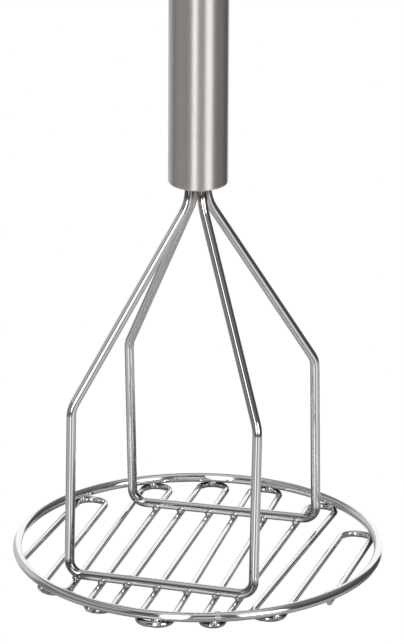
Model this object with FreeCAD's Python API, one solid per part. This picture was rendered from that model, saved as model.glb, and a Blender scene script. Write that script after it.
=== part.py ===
import FreeCAD, Part

# A potato masher: a serpentine wire grid welded under a round rim, two house-shaped
# frame wires that stand on the grid, and a steel tube handle that holds their ends.
# Lengths are millimetres. The origin is the rim's centre on the surface that the grid
# rests on, +Z is up, X runs along the frames' bottom bars and -Y is the front.

import math
import os

# Wires
frame_wire_diameter = 4.2
rim_wire_diameter = 4.2
grid_wire_diameter = 2.8

# Rim and grid. The bars are bent by hand: each sits off its even place by a share of the
# pitch, and leans by a share of its length. Each U-bend is tucked in by a share of the rim wire.
rim_radius = 78.0
left_gap = 9.1
right_gap = 10.5
bend_radius = 6.0
bend_overhang = 1.8
first_end_overhang = -1.2
last_end_overhang = -1.2
bar_drift_shares = (0.0, 0.2, 0.15, 0.1, 0.0, 0.05, 0.05, 0.1, 0.1, -0.05, -0.1, 0.05)
bar_lean_shares = (0.04, -0.01, -0.03, -0.02, -0.02, -0.025, -0.05, -0.04, 0.01, 0.045, 0.015, 0.0)
bend_tuck_shares = (0.37, 0.59, 0.19, 0.85, 0.13, 0.14, 0.19, 0.48, 0.35, 0.63, 0.63)
bend_room_share = 0.49

# Handle
handle_diameter = 25.4
handle_wall = 1.5
handle_edge_radius = 1.2
handle_bottom = 170.0
handle_length = 434.0
handle_offset = -0.8
cap_reveal = 0.3
cap_band = 1.0
cap_dome = 5.0
cap_spigot_depth = 9.0
cap_spigot_wall = 2.0
fit_clearance = 0.05

# Plug in the handle's lower end, with the four wire ends
plug_depth = 16.0
plug_recess = 1.5
entry_half_width = 2.7
entry_half_depth = 3.4

# Frame wires: shared bends, then the places of the front and the rear one. Their bottom bars
# follow the grid: spans, shifts and corners are shares of the bar pitch, sets of the rim's radius.
exit_drop = 7.8
exit_radius = 20.0
shoulder_radius = 10.0
corner_radius_share = 0.484
front_bar_set_share = 0.587
front_shoulder_inset = 3.8
front_shoulder_height = 78.5
front_half_span_share = 3.282
front_shift_share = -0.241
front_skew = 0.0
rear_bar_set_share = 0.527
rear_shoulder_inset = 5.5
rear_shoulder_height = 81.7
rear_half_span_share = 3.339
rear_shift_share = -0.024
rear_skew = 1.7

# Welds
weld_gap = 0.2
crossing_weld_radius = 1.6
crossing_bend_share = 0.4
rim_weld_radius = 2.0
end_weld_radius = 1.4
end_weld_setback = 0.4
seam_rise = 0.5
seam_width = 2.0
seam_turn = 1.2
seam_front_bend = 3

# Making
cut_overrun = 2.0
halving_steps = 60

# Worked out from the sizes above
grid_height = grid_wire_diameter / 2
grid_top = grid_wire_diameter
rim_height = grid_top + weld_gap + rim_wire_diameter / 2
bar_height = grid_top + weld_gap + frame_wire_diameter / 2
handle_bore = handle_diameter - 2 * handle_wall
handle_top = handle_bottom + handle_length
plug_bottom = handle_bottom + plug_recess
plug_top = plug_bottom + plug_depth
last_bar = len(bar_drift_shares) - 1
bar_pitch = (2 * rim_radius - left_gap - right_gap) / last_bar
corner_radius = corner_radius_share * bar_pitch
REAR = 1
FRONT = -1

FRAMES = {
    "front": {"side": FRONT, "bar_set": front_bar_set_share * rim_radius,
              "shoulder_inset": front_shoulder_inset, "shoulder_height": front_shoulder_height,
              "half_span": front_half_span_share * bar_pitch,
              "shift": front_shift_share * bar_pitch, "skew": front_skew},
    "rear": {"side": REAR, "bar_set": rear_bar_set_share * rim_radius,
             "shoulder_inset": rear_shoulder_inset, "shoulder_height": rear_shoulder_height,
             "half_span": rear_half_span_share * bar_pitch,
             "shift": rear_shift_share * bar_pitch, "skew": rear_skew},
}


def point(x, y, z=0):
    return FreeCAD.Vector(x, y, z)


def rounded_path(points, radii):
    """Straight runs through the points, joined by tangent arcs of the given radii."""
    edges = []
    run_start = points[0]
    for before, corner, after, radius in zip(points, points[1:], points[2:], radii):
        back = (before - corner).normalize()
        ahead = (after - corner).normalize()
        half_angle = back.getAngle(ahead) / 2
        setback = radius / math.tan(half_angle)
        inward = (back + ahead).normalize()
        arc_start = corner + back * setback
        arc_middle = corner + inward * (radius / math.sin(half_angle) - radius)
        arc_end = corner + ahead * setback
        edges.append(Part.LineSegment(run_start, arc_start).toShape())
        edges.append(Part.Arc(arc_start, arc_middle, arc_end).toShape())
        run_start = arc_end
    edges.append(Part.LineSegment(run_start, points[-1]).toShape())
    return edges


def wire_solid(edges, diameter):
    """A round wire swept along a path of lines and tangent arcs."""
    first = edges[0]
    start = first.valueAt(first.FirstParameter)
    direction = first.tangentAt(first.FirstParameter)
    section = Part.Wire(Part.makeCircle(diameter / 2, start, direction))
    return Part.Wire(edges).makePipeShell([section], True, False)


def turned(profile_edges):
    """A solid turned about the handle's axis from a closed profile in the XZ plane."""
    face = Part.Face(Part.Wire(profile_edges))
    solid = face.revolve(point(0, 0, 0), point(0, 0, 1), 360)
    solid.translate(point(handle_offset, 0, 0))
    return solid


def polyline(corners):
    return [Part.LineSegment(a, b).toShape() for a, b in zip(corners, corners[1:])]


def handle_tube():
    """The tube, with its lower outer edge rounded."""
    radius = handle_diameter / 2
    bore_radius = handle_bore / 2
    edge = min(handle_edge_radius, handle_wall)
    low_inner = point(bore_radius, 0, handle_bottom)
    low_outer = point(radius - edge, 0, handle_bottom)
    side_low = point(radius, 0, handle_bottom + edge)
    diagonal = edge * math.sin(math.radians(45))
    edge_middle = point(radius - edge + diagonal, 0, handle_bottom + edge - diagonal)
    profile = polyline([side_low, point(radius, 0, handle_top),
                        point(bore_radius, 0, handle_top), low_inner])
    if edge < handle_wall:
        profile.append(Part.LineSegment(low_inner, low_outer).toShape())
    profile.append(Part.Arc(low_outer, edge_middle, side_low).toShape())
    return turned(profile)


def handle_end_cap():
    """A domed cap, a hair narrower than the tube, on a hollow spigot inside it."""
    radius = handle_diameter / 2 - cap_reveal
    spigot_radius = handle_bore / 2 - fit_clearance
    spigot_inner = spigot_radius - cap_spigot_wall
    band_top = handle_top + cap_band
    apex = point(0, 0, band_top + cap_dome)
    dome_radius = (radius ** 2 + cap_dome ** 2) / (2 * cap_dome)
    half_turn = math.asin(radius / dome_radius) / 2
    dome_middle = point(dome_radius * math.sin(half_turn), 0,
                        apex.z - dome_radius * (1 - math.cos(half_turn)))
    corners = [apex, point(0, 0, handle_top), point(spigot_inner, 0, handle_top),
               point(spigot_inner, 0, handle_top - cap_spigot_depth),
               point(spigot_radius, 0, handle_top - cap_spigot_depth),
               point(spigot_radius, 0, handle_top), point(radius, 0, handle_top),
               point(radius, 0, band_top)]
    profile = polyline(corners)
    profile.append(Part.Arc(corners[-1], dome_middle, apex).toShape())
    return turned(profile)


def wire_entries():
    """The places, in plan, where the four wire ends go up into the plug."""
    return [(handle_offset + across * entry_half_width, side * entry_half_depth)
            for side in (FRONT, REAR) for across in (-1, 1)]


def wire_plug():
    """The round plug inside the tube's lower end, bored for the four wires."""
    plug = Part.makeCylinder(handle_bore / 2 - fit_clearance, plug_depth,
                             point(handle_offset, 0, plug_bottom))
    hole_radius = frame_wire_diameter / 2 + fit_clearance
    for x, y in wire_entries():
        hole = Part.makeCylinder(hole_radius, plug_depth + 2 * cut_overrun,
                                 point(x, y, plug_bottom - cut_overrun))
        plug = plug.cut(hole)
    return plug


def frame_leg(frame, across):
    """Entry, exit bend, shoulder and corner points of one leg of a frame."""
    entry_x = handle_offset + across * entry_half_width
    entry_y = frame["side"] * entry_half_depth
    leg_x = frame["shift"] + across * frame["half_span"]
    bar_y = frame["side"] * frame["bar_set"] + across * frame["skew"]
    shoulder_y = bar_y - frame["side"] * frame["shoulder_inset"]
    return [point(entry_x, entry_y, plug_top),
            point(entry_x, entry_y, handle_bottom - exit_drop),
            point(leg_x, shoulder_y, frame["shoulder_height"]),
            point(leg_x, bar_y, bar_height)]


def frame_wire(frame):
    """One wire: down from the handle, round the bottom bar and up again."""
    points = frame_leg(frame, -1) + frame_leg(frame, 1)[::-1]
    leg_radii = [exit_radius, shoulder_radius, corner_radius]
    return wire_solid(rounded_path(points, leg_radii + leg_radii[::-1]), frame_wire_diameter)


def bar_line(index):
    """A grid bar's line in plan: its X at the middle and its run in X per length of Y."""
    first_place = left_gap - rim_radius
    return first_place + bar_pitch * (index + bar_drift_shares[index]), bar_lean_shares[index]


def bar_x(index, y):
    place, lean = bar_line(index)
    return place + lean * y


def bend_end(index):
    """The bends after the odd bars lie at the rear, the others at the front."""
    return REAR if index % 2 == 0 else FRONT


def bend_outline(index, y):
    """X of both corners of the U-bend from one bar to the next, and the corners' radius."""
    left = bar_x(index, y)
    right = bar_x(index + 1, y)
    return left, right, min(bend_radius, bend_room_share * (right - left))


def farthest_corner(index, y):
    """The outermost point of a U-bend's rounded corners, and its distance from the axis."""
    left, right, radius = bend_outline(index, y)
    inset_y = y - bend_end(index) * radius
    centre_x = max(left + radius, right - radius, key=abs)
    to_centre = math.hypot(centre_x, inset_y)
    reach = to_centre + radius
    return point(centre_x * reach / to_centre, inset_y * reach / to_centre), reach


def bend_reach(index):
    """How far out a U-bend goes: past the rim's centre line, less its own tuck."""
    return rim_radius + bend_overhang - bend_tuck_shares[index] * rim_wire_diameter


def bend_y(index):
    """The Y of the straight run across a U-bend, found by halving."""
    near = 0
    far = rim_radius + bend_overhang
    for _ in range(halving_steps):
        middle = (near + far) / 2
        _, reach = farthest_corner(index, bend_end(index) * middle)
        if reach < bend_reach(index):
            near = middle
        else:
            far = middle
    return bend_end(index) * middle


def bar_at_radius(index, radius, end):
    """Where a bar's line meets a circle about the rim's axis, at the front or the rear."""
    place, lean = bar_line(index)
    square = 1 + lean ** 2
    root = math.sqrt((place * lean) ** 2 - square * (place ** 2 - radius ** 2))
    y = (-place * lean + end * root) / square
    return point(place + lean * y, y, grid_height)


def free_ends(setback=0):
    """The wire's two cut ends, under the rim at the front, or places short of them."""
    return (bar_at_radius(0, rim_radius + first_end_overhang - setback, FRONT),
            bar_at_radius(last_bar, rim_radius + last_end_overhang - setback, FRONT))


def mashing_grid():
    """One wire: twelve bars and the U-bends between them, from free end to free end."""
    first_end, last_end = free_ends()
    points = [first_end]
    radii = []
    for index in range(last_bar):
        y = bend_y(index)
        left, right, radius = bend_outline(index, y)
        points += [point(left, y, grid_height), point(right, y, grid_height)]
        radii += [radius, radius]
    points.append(last_end)
    return wire_solid(rounded_path(points, radii), grid_wire_diameter)


def rim_ring():
    return Part.makeTorus(rim_radius, rim_wire_diameter / 2, point(0, 0, rim_height))


def crossings(frame):
    """Where a frame's bottom bar crosses grid bars, with its rise where its corner begins."""
    slope = frame["skew"] / frame["half_span"]
    bar_y = frame["side"] * frame["bar_set"]
    straight = frame["half_span"] - corner_radius
    limit = frame["half_span"] - corner_radius * crossing_bend_share
    places = []
    for index in range(len(bar_drift_shares)):
        place, lean = bar_line(index)
        x = (place + lean * (bar_y - slope * frame["shift"])) / (1 - lean * slope)
        across = abs(x - frame["shift"])
        if across < limit:
            into_bend = max(0, across - straight)
            rise = corner_radius - math.sqrt(corner_radius ** 2 - into_bend ** 2)
            places.append((x, bar_y + slope * (x - frame["shift"]), rise))
    return places


def bead_ball(x, y, gap, radius):
    return Part.makeSphere(radius, point(x, y, grid_top + gap / 2))


def bead(x, y, gap, radius, wires):
    """A weld bead in the gap above the grid, shaped by the wires that it joins."""
    return bead_ball(x, y, gap, radius).cut(wires).Solids[0]


def crossing_welds(frame, frame_solid, grid):
    return [bead(x, y, weld_gap + rise, crossing_weld_radius, (frame_solid, grid))
            for x, y, rise in crossings(frame)]


def bend_weld_place(index):
    """The place under the rim, in plan, at the outermost point of a U-bend."""
    corner, reach = farthest_corner(index, bend_y(index))
    return corner.x * rim_radius / reach, corner.y * rim_radius / reach


def rim_weld_places():
    """The places of the welds under the rim, with each one's radius."""
    bends = [(*bend_weld_place(index), rim_weld_radius) for index in range(last_bar)]
    return bends + [(end.x, end.y, end_weld_radius) for end in free_ends(end_weld_setback)]


def rim_welds(rim, grid):
    return [bead(x, y, weld_gap, radius, (rim, grid)) for x, y, radius in rim_weld_places()]


def rim_seam(beside):
    """The butt weld that closes the ring: a raised band over its wire, beside a rim weld."""
    wire_radius = rim_wire_diameter / 2
    band_radius = wire_radius + seam_rise
    centre_line = point(rim_radius, 0, rim_height)
    across = point(1, 0, 0)
    upward = point(0, 0, 1)

    def half_circle(radius):
        return Part.Arc(centre_line - across * radius, centre_line + upward * radius,
                        centre_line + across * radius).toShape()

    profile = [half_circle(band_radius), half_circle(wire_radius)]
    for side in (-1, 1):
        profile.append(Part.LineSegment(centre_line + across * (side * wire_radius),
                                        centre_line + across * (side * band_radius)).toShape())
    width_angle = math.degrees(seam_width / rim_radius)
    face = Part.Face(Part.Wire(Part.__sortEdges__(profile)))
    band = face.revolve(point(0, 0, 0), upward, width_angle)
    place_angle = math.degrees(math.atan2(beside[1], beside[0])) + seam_turn
    band.rotate(point(0, 0, 0), upward, place_angle - width_angle / 2)
    return band.cut(bead_ball(beside[0], beside[1], weld_gap, rim_weld_radius))


def main():
    rim = rim_ring()
    grid = mashing_grid()
    frames = {name: frame_wire(frame) for name, frame in FRAMES.items()}
    nodes = {"handle_tube": handle_tube(), "handle_end_cap": handle_end_cap(),
             "wire_plug": wire_plug(), "rim": rim, "mashing_grid": grid}
    for name, frame in FRAMES.items():
        nodes[name + "_frame"] = frames[name]
        for number, weld in enumerate(crossing_welds(frame, frames[name], grid), 1):
            nodes["%s_weld_%d" % (name, number)] = weld
    welds = rim_welds(rim, grid)
    for number, weld in enumerate(welds, 1):
        nodes["rim_weld_%d" % number] = weld
    front_bends = [index for index in range(last_bar) if bend_end(index) == FRONT]
    nodes["rim_seam"] = rim_seam(bend_weld_place(front_bends[seam_front_bend]))

    os.makedirs("parts", exist_ok=True)
    for name, shape in nodes.items():
        shape.exportStep("parts/%s.step" % name)


main()
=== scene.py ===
import math

import bpy
from mathutils import Matrix, Vector

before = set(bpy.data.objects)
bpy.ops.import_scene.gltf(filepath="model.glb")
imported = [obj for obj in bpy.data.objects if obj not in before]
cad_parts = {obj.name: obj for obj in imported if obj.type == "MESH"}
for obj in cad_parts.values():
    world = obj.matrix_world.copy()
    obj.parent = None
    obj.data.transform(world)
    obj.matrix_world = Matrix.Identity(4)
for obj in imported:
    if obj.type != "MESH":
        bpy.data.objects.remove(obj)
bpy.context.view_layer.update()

MM = 0.001
IMAGE_HEIGHT = 644

# Camera: the photograph's viewing angle, in degrees, millimetres and pixels
camera_azimuth = 16.223
camera_elevation = 20.09
camera_roll = 0.3
camera_distance = 2000
camera_focal_pixels = 4708.5
camera_far_limit = 100000
aim_aside = 1.15
aim_height = 107.63
sensor_size = 36

# Floor, from its middle to its edge, in millimetres
floor_reach = 20000

# Handle, in millimetres: its radius, and the heights where the painted highlight on its lower edge
# begins to fade and is gone
handle_radius = 12.7
edge_highlight_low = 170.2
edge_highlight_high = 171.4

# Heights in millimetres where the wires' heat tint and painted reflection of the handle's dark
# underside begin and are full
tint_and_reflection_low = 162.5
tint_and_reflection_high = 166

# Painted shade where wires stand close: how near they stand, in millimetres, the open shares that
# count as closed and as free, and what is left of the brightness in the deepest crevice
crevice_shade_reach = 9
crevice_shade_closed = 0.20
crevice_shade_free = 0.68
crevice_shade_dark = 0.10

# Painted shade on the frames' legs and lower corners, and what it leaves of the brightness. On the
# legs' inner sides it is full up to one height, in millimetres, and gone at another. It covers what
# turns inward by more than an amount, given here at a lower and at a higher place.
frame_shade_dark = 0.34
leg_shade_full = 36
leg_shade_end = 68
leg_shade_low_place = 12
leg_shade_low_turn = -0.15
leg_shade_high_place = 34
leg_shade_high_turn = -0.55
leg_shade_softness = 0.22

# At the frames' lower corners the painted shade begins and is full at these distances aside and
# heights, in millimetres, on what doesn't face upward by more than these amounts
corner_aside_from = 33
corner_aside_to = 37
corner_height_from = 13
corner_height_to = 10
corner_upward_from = 0.55
corner_upward_to = 0.10

# Spread of a noise texture's values: nearly all of them, and the middle ones
NOISE_RANGE = (0.25, 0.75)
NOISE_MIDDLE = (0.3, 0.7)

# Sockets of a colour mix
MIX_FACTOR = 0
MIX_FIRST = 6
MIX_SECOND = 7
MIX_RESULT = 2


class Nodes:
    """Short calls that add and link shader nodes."""

    def __init__(self, tree):
        self.tree = tree

    def add(self, kind, inputs=None, **settings):
        node = self.tree.nodes.new(kind)
        for key, value in settings.items():
            setattr(node, key, value)
        for key, value in (inputs or {}).items():
            self.put(node.inputs[key], value)
        return node

    def put(self, socket, value):
        if isinstance(value, bpy.types.Node):
            value = value.outputs[0]
        if isinstance(value, bpy.types.NodeSocket):
            self.tree.links.new(value, socket)
        else:
            socket.default_value = value

    def math(self, operation, *values):
        node = self.add("ShaderNodeMath", operation=operation)
        for socket, value in zip(node.inputs, values):
            self.put(socket, value)
        return node

    def remap(self, value, low, high, to_low=0.0, to_high=1.0, kind="LINEAR"):
        return self.add("ShaderNodeMapRange",
                        {"Value": value, "From Min": low, "From Max": high,
                         "To Min": to_low, "To Max": to_high}, interpolation_type=kind)

    def soft_step(self, value, start, end):
        """A soft step from zero to one between two values."""
        return self.remap(value, start, end, kind="SMOOTHSTEP")

    def ramp(self, value, stops):
        node = self.add("ShaderNodeValToRGB", {"Fac": value})
        elements = node.color_ramp.elements
        while len(elements) > 1:
            elements.remove(elements[-1])
        for number, (place, colour) in enumerate(stops):
            element = elements[0] if number == 0 else elements.new(place)
            element.position = place
            element.color = (*colour, 1.0)
        return node

    def mix(self, factor, first, second):
        node = self.add("ShaderNodeMix", data_type="RGBA")
        self.put(node.inputs[MIX_FACTOR], factor)
        self.put(node.inputs[MIX_FIRST], first)
        self.put(node.inputs[MIX_SECOND], second)
        return node.outputs[MIX_RESULT]

    def scaled(self, colour, factor):
        return self.add("ShaderNodeVectorMath", {0: colour, "Scale": factor}, operation="SCALE")

    def separate(self, vector):
        return self.add("ShaderNodeSeparateXYZ", {"Vector": vector}).outputs

    def show(self, shader, output_kind="ShaderNodeOutputMaterial"):
        output = self.add(output_kind)
        self.tree.links.new(shader.outputs[0], output.inputs[0])


def new_material(name):
    material = bpy.data.materials.new(name)
    material.use_nodes = True
    material.node_tree.nodes.clear()
    return material, Nodes(material.node_tree)


def make_camera():
    azimuth = math.radians(camera_azimuth)
    elevation = math.radians(camera_elevation)
    back = Vector((math.sin(azimuth) * math.cos(elevation),
                   -math.cos(azimuth) * math.cos(elevation), math.sin(elevation)))
    right = Vector((math.cos(azimuth), math.sin(azimuth), 0))
    up = back.cross(right)
    aim = right * aim_aside * MM + Vector((0, 0, aim_height * MM))
    turn = Matrix.Rotation(math.radians(camera_roll), 3, back)
    axes = Matrix((turn @ right, turn @ up, back)).transposed()
    data = bpy.data.cameras.new("camera")
    data.sensor_fit = "VERTICAL"
    data.sensor_height = sensor_size
    data.lens = camera_focal_pixels / IMAGE_HEIGHT * sensor_size
    data.clip_end = camera_far_limit * MM
    camera = bpy.data.objects.new("camera", data)
    camera.matrix_world = Matrix.Translation(aim + back * camera_distance * MM) @ axes.to_4x4()
    bpy.context.scene.collection.objects.link(camera)
    bpy.context.scene.camera = camera


# Studio round the object: a plain wall from the floor up, by height in degrees and brightness
WALL = ((-60, 0.32), (-42, 0.34), (-34, 0.44), (-17, 0.42), (-12, 0.18), (-5, 0.16), (0, 0.14),
        (29, 0.12), (33, 0.06), (41, 0.07), (50, 0.20), (62, 0.35), (74, 0.55))

# Soft boxes and dark flags in front of the wall, each in front of those listed before it: middle,
# counted to the right from the camera's side, half width, lower edge, upper edge and softness, all
# in degrees, and brightness
PANELS = {
    "rear wall": (-160, 47, -45, 37, 11, 0.58),
    "left wall": (-71, 26, -4, 24, 6, 0.22),
    "left upper light": (-85, 40, 24, 42, 4, 0.45),
    "left gap": (-98, 16, -14, 3, 4, 0.15),
    "left table flag": (-120, 17, -44, -10, 8, 0.18),
    "left flag": (-35, 9, -12, 44, 4, 0.07),
    "left lamp": (-33, 8, 2, 7, 2, 0.55),
    "left table light": (-34, 8, -62, -22, 4, 0.70),
    "right flag": (102, 43, -15, 33, 4, 0.07),
    "right upper flag": (80, 62, 33, 62, 4, 0.15),
    "right table flag": (134, 13, -44, -15, 6, 0.12),
    "right floor light": (84, 16, -90, -42, 6, 0.42),
    "backdrop": (173, 25, -30, 31, 4, 1.02),
    "front table flag": (8, 12, -40, -14, 4, 0.32),
    "front foot light": (6, 9, 2, 15, 3, 1.2),
    "left strip": (-14, 8, -3, 58, 2, 3.2),
    "left strip below": (-16, 7, -40, -10, 3, 1.4),
    "left upper box": (-17, 10, 34, 58, 3, 1.4),
    "right box": (40, 14, -2, 34, 3, 3.2),
    "right box below": (40, 13, -21, -14, 4, 0.90),
    "right table light": (45, 10, -34, -25, 1.5, 1.0),
    "right upper box": (43, 13, 43, 62, 3, 1.0),
}

# What the studio's greys get in red, green and blue: it shows in the dark ones, as a warm tint
warm_shift = (0.003, -0.001, -0.002)


def grey(brightness):
    return tuple(brightness + shift for shift in warm_shift)


def window(n, value, low, high, edge):
    """One between two angles in degrees, with soft edges."""
    rise = n.soft_step(value, math.radians(low - edge), math.radians(low + edge))
    fall = n.soft_step(value, math.radians(high + edge), math.radians(high - edge))
    return n.math("MULTIPLY", rise, fall)


def hang_panel(n, colour, around, height, panel):
    """A soft box or a flag, laid over what is behind it."""
    middle, half_width, low, high, edge, brightness = panel
    aside = n.math("SUBTRACT", around, math.radians(middle))
    aside = n.math("WRAP", aside, math.pi, -math.pi)
    inside = n.math("MULTIPLY", window(n, aside, -half_width, half_width, edge),
                    window(n, height, low, high, edge))
    return n.mix(inside, colour, (*grey(brightness), 1))


def wall_stops():
    """The wall's brightness by its share of the way from straight down to straight up."""
    straight_up = 90
    return [((angle + straight_up) / (2 * straight_up), grey(value)) for angle, value in WALL]


def make_world():
    world = bpy.data.worlds.new("studio")
    bpy.context.scene.world = world
    world.use_nodes = True
    world.node_tree.nodes.clear()
    n = Nodes(world.node_tree)
    direction = n.add("ShaderNodeTexCoord").outputs["Generated"]
    turned = n.add("ShaderNodeVectorRotate",
                   {"Vector": direction, "Angle": -math.radians(camera_azimuth)},
                   rotation_type="Z_AXIS")
    x, y, z = n.separate(turned)
    around = n.math("ARCTAN2", x, n.math("MULTIPLY", y, -1.0))
    height = n.math("ARCSINE", z)
    share = n.remap(height, -math.pi / 2, math.pi / 2)
    colour = n.ramp(share, wall_stops()).outputs[0]
    for panel in PANELS.values():
        colour = hang_panel(n, colour, around, height, panel)
    background = n.add("ShaderNodeBackground", {"Color": colour, "Strength": 1.0})
    n.show(background, "ShaderNodeOutputWorld")


def make_floor():
    """A plain white floor. Wires don't mirror it, because the studio's lower half stands for it."""
    reach = floor_reach * MM
    mesh = bpy.data.meshes.new("floor")
    mesh.from_pydata([(-reach, -reach, 0), (reach, -reach, 0), (reach, reach, 0),
                      (-reach, reach, 0)], [], [(0, 1, 2, 3)])
    floor = bpy.data.objects.new("floor", mesh)
    bpy.context.scene.collection.objects.link(floor)
    material, n = new_material("floor_white")
    n.show(n.add("ShaderNodeEmission", {"Color": (1, 1, 1, 1), "Strength": 1.0}))
    mesh.materials.append(material)
    floor.visible_glossy = False


def finish_metal(n, colour, roughness, **inputs):
    """A metal surface as the material's output."""
    surface = n.add("ShaderNodeBsdfPrincipled", {"Base Color": colour, "Metallic": 1.0,
                                                 "Roughness": roughness, **inputs})
    n.show(surface)


def object_place(n):
    """The point on the object as a vector and as three coordinates, in metres."""
    coords = n.add("ShaderNodeTexCoord").outputs["Object"]
    return coords, n.separate(coords)


def noise(n, coords, scale, detail=2.0):
    return n.add("ShaderNodeTexNoise", {"Vector": coords, "Scale": scale, "Detail": detail})


def bumps(n, heights, strength, depth):
    """The surface's direction where it has small bumps, with their depth in millimetres."""
    return n.add("ShaderNodeBump",
                 {"Height": heights, "Strength": strength, "Distance": depth * MM})


def crevice_shade(n):
    """Painted shade where other wires stand close: the colour is darker there."""
    occlusion = n.add("ShaderNodeAmbientOcclusion", {"Distance": crevice_shade_reach * MM}, samples=16)
    return n.remap(occlusion.outputs["AO"], crevice_shade_closed, crevice_shade_free, crevice_shade_dark, 1.0)


def side_shade(n, x, z, across):
    """Painted shade on the inner sides of a frame's legs, from zero to one."""
    outward = n.math("MULTIPLY", n.math("SIGN", x), across)
    begin = n.remap(z, leg_shade_low_place * MM, leg_shade_high_place * MM, leg_shade_low_turn, leg_shade_high_turn)
    inner = n.soft_step(n.math("SUBTRACT", begin, outward), 0.0, leg_shade_softness)
    fading = n.soft_step(z, leg_shade_end * MM, leg_shade_full * MM)
    return n.math("MULTIPLY", inner, fading)


def corner_shade(n, x, z, upward):
    """Painted shade at a frame's lower corners, from zero to one."""
    aside = n.math("ABSOLUTE", x)
    corner = n.soft_step(aside, corner_aside_from * MM, corner_aside_to * MM)
    low = n.soft_step(z, corner_height_from * MM, corner_height_to * MM)
    under = n.soft_step(upward, corner_upward_from, corner_upward_to)
    return n.math("MULTIPLY", n.math("MULTIPLY", corner, low), under)


def frame_shade(n, x, z):
    """What the painted shade on the legs and corners leaves of a frame wire's brightness."""
    normal = n.add("ShaderNodeTexCoord").outputs["Normal"]
    across, _, upward = n.separate(normal)
    shade_amount = n.math("MAXIMUM", side_shade(n, x, z, across), corner_shade(n, x, z, upward))
    return n.remap(shade_amount, 0.0, 1.0, 1.0, frame_shade_dark)


def chrome(name, frame_shaded):
    """Bright wire: a mirror with slight waves, a faint haze, painted shade between close wires and
    on the frames' legs and corners, and near the handle a heat tint with painted reflection of its
    dark underside.
    """
    haze_scale = 600.0
    wave_scale = 45.0
    dull_colour = (0.87, 0.87, 0.87)
    bright_colour = (0.93, 0.93, 0.935)
    tint_and_reflection_colour = (0.36, 0.315, 0.285, 1)
    clear_roughness = 0.025
    hazy_roughness = 0.04
    material, n = new_material(name)
    coords, (x, _, z) = object_place(n)
    haze = noise(n, coords, haze_scale, detail=3.0)
    waves = noise(n, coords, wave_scale)
    low, high = NOISE_MIDDLE
    # Painted shade: darker colour where other wires stand close
    shade = crevice_shade(n)
    # On the frames, painted shade also darkens the legs' inner sides and the lower corners
    if frame_shaded:
        shade = n.math("MULTIPLY", shade, frame_shade(n, x, z))
    colour = n.scaled(n.ramp(waves, [(low, dull_colour), (high, bright_colour)]), shade)
    # Heat tint and painted reflection of the handle's dark underside, darker towards the handle
    tint = n.soft_step(z, tint_and_reflection_low * MM, tint_and_reflection_high * MM)
    finish_metal(n, n.mix(tint, colour, tint_and_reflection_colour),
                 n.remap(haze, low, high, clear_roughness, hazy_roughness),
                 Normal=bumps(n, waves, strength=0.04, depth=0.3))
    return material


def weld_metal():
    """Plated weld beads: lumpy, with darker hollows."""
    lump_scale = 700.0
    hollow_colour = (0.42, 0.40, 0.38)
    lump_colour = (0.88, 0.875, 0.87)
    hollow_end = 0.35
    lump_begin = 0.6
    hollow_roughness = 0.16
    lump_roughness = 0.06
    material, n = new_material("weld_metal")
    coords, _ = object_place(n)
    lumps = noise(n, coords, lump_scale, detail=3.0)
    finish_metal(n, n.ramp(lumps, [(hollow_end, hollow_colour), (lump_begin, lump_colour)]),
                 n.remap(lumps, *NOISE_MIDDLE, hollow_roughness, lump_roughness),
                 Normal=bumps(n, lumps, strength=0.35, depth=0.5))
    return material


def seam_metal():
    """The rim's butt weld: ground over, so it is satin beside the mirror of the wire."""
    scratch_scale = 900.0
    seam_colour = (0.94, 0.935, 0.93, 1)
    smooth_roughness = 0.24
    scratched_roughness = 0.38
    material, n = new_material("ground_seam")
    coords, _ = object_place(n)
    scratches = noise(n, coords, scratch_scale, detail=3.0)
    finish_metal(n, seam_colour,
                 n.remap(scratches, *NOISE_MIDDLE, smooth_roughness, scratched_roughness))
    return material


def satin_steel():
    """Brushed tube: lines round it, a fine grain, and a painted highlight along its lower edge."""
    line_scale = 5200.0
    line_stretch = 0.08
    grain_scale = 2600.0
    smear_scale = 38.0
    edge_highlight_gain = 1.25
    steel_colour = (0.91, 0.87, 0.835)
    least_roughness = 0.45
    most_roughness = 0.50
    material, n = new_material("satin_steel")
    coords, (x, y, z) = object_place(n)
    turn = n.math("MULTIPLY", n.math("ARCTAN2", y, x), handle_radius * MM)
    unrolled = n.add("ShaderNodeCombineXYZ", {"X": n.math("MULTIPLY", turn, line_stretch), "Y": z})
    lines = noise(n, unrolled, line_scale)
    line_tone = n.remap(lines, *NOISE_RANGE, to_low=0.93, to_high=1.07)
    grain_tone = n.remap(noise(n, coords, grain_scale), *NOISE_RANGE, to_low=0.90, to_high=1.10)
    smears = noise(n, coords, smear_scale, detail=3.0)
    smear_tone = n.remap(smears, *NOISE_MIDDLE, to_low=0.965, to_high=1.03)
    # Painted highlight: the colour is brighter along the tube's lower edge
    edge = n.soft_step(z, edge_highlight_high * MM, edge_highlight_low * MM)
    tone = n.math("MULTIPLY", line_tone, grain_tone)
    tone = n.math("MULTIPLY", tone, smear_tone)
    tone = n.math("MULTIPLY", tone, n.remap(edge, 0.0, 1.0, 1.0, edge_highlight_gain))
    tangent = n.add("ShaderNodeTangent", direction_type="RADIAL", axis="Z")
    finish_metal(n, n.scaled(steel_colour, tone),
                 n.remap(lines, *NOISE_RANGE, least_roughness, most_roughness),
                 **{"Anisotropic": 0.95, "Anisotropic Rotation": 0.25, "Tangent": tangent})
    return material


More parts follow.
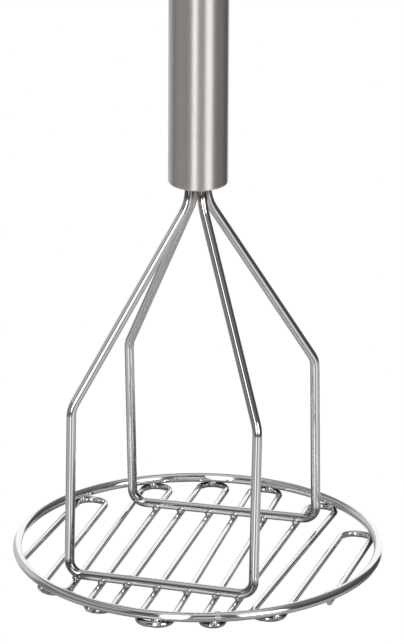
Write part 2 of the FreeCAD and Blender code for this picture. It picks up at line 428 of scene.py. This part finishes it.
def cap_steel():
    """The handle's end: turned steel, with fine rings round its middle."""
    ring_scale = 4200.0
    smear_scale = 60.0
    steel_colour = (0.58, 0.56, 0.54)
    least_roughness = 0.52
    most_roughness = 0.60
    material, n = new_material("cap_steel")
    coords, (x, y, z) = object_place(n)
    level = n.add("ShaderNodeCombineXYZ", {"X": x, "Y": y})
    radius = n.add("ShaderNodeVectorMath", {0: level}, operation="LENGTH").outputs["Value"]
    rings = noise(n, n.add("ShaderNodeCombineXYZ", {"X": radius, "Y": z}), ring_scale)
    smears = noise(n, coords, smear_scale, detail=3.0)
    ring_tone = n.remap(rings, *NOISE_RANGE, to_low=0.92, to_high=1.06)
    smear_tone = n.remap(smears, *NOISE_MIDDLE, to_low=0.95, to_high=1.04)
    finish_metal(n, n.scaled(steel_colour, n.math("MULTIPLY", ring_tone, smear_tone)),
                 n.remap(rings, *NOISE_RANGE, least_roughness, most_roughness),
                 Normal=bumps(n, rings, strength=0.08, depth=0.1))
    return material


def plug_steel():
    """The plug: dull steel, dark as painted shade of the recess under the handle, mottled at
    random.
    """
    crust_scale = 420.0
    # Painted shade: both colours are dark to stand for the shaded recess
    shaded_dark_colour = (0.16, 0.14, 0.125)
    shaded_pale_colour = (0.34, 0.31, 0.29)
    dark_roughness = 0.55
    pale_roughness = 0.38
    material, n = new_material("plug_steel")
    coords, _ = object_place(n)
    crust = noise(n, coords, crust_scale, detail=4.0)
    low, high = NOISE_MIDDLE
    finish_metal(n, n.ramp(crust, [(low, shaded_dark_colour), (high, shaded_pale_colour)]),
                 n.remap(crust, low, high, dark_roughness, pale_roughness),
                 Normal=bumps(n, crust, strength=0.3, depth=0.3))
    return material


def dress(name, material):
    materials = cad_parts[name].data.materials
    materials.clear()
    materials.append(material)


def dress_all():
    bright = chrome("bright_chrome", frame_shaded=False)
    frame_chrome = chrome("shaded_frame_chrome", frame_shaded=True)
    weld = weld_metal()
    special = {"handle_tube": satin_steel(), "handle_end_cap": cap_steel(),
               "wire_plug": plug_steel(), "rim_seam": seam_metal(),
               "front_frame": frame_chrome, "rear_frame": frame_chrome}
    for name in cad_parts:
        dress(name, special.get(name, weld if "_weld_" in name else bright))


make_camera()
make_world()
make_floor()
dress_all()

bpy.context.scene.view_settings.view_transform = "Standard"
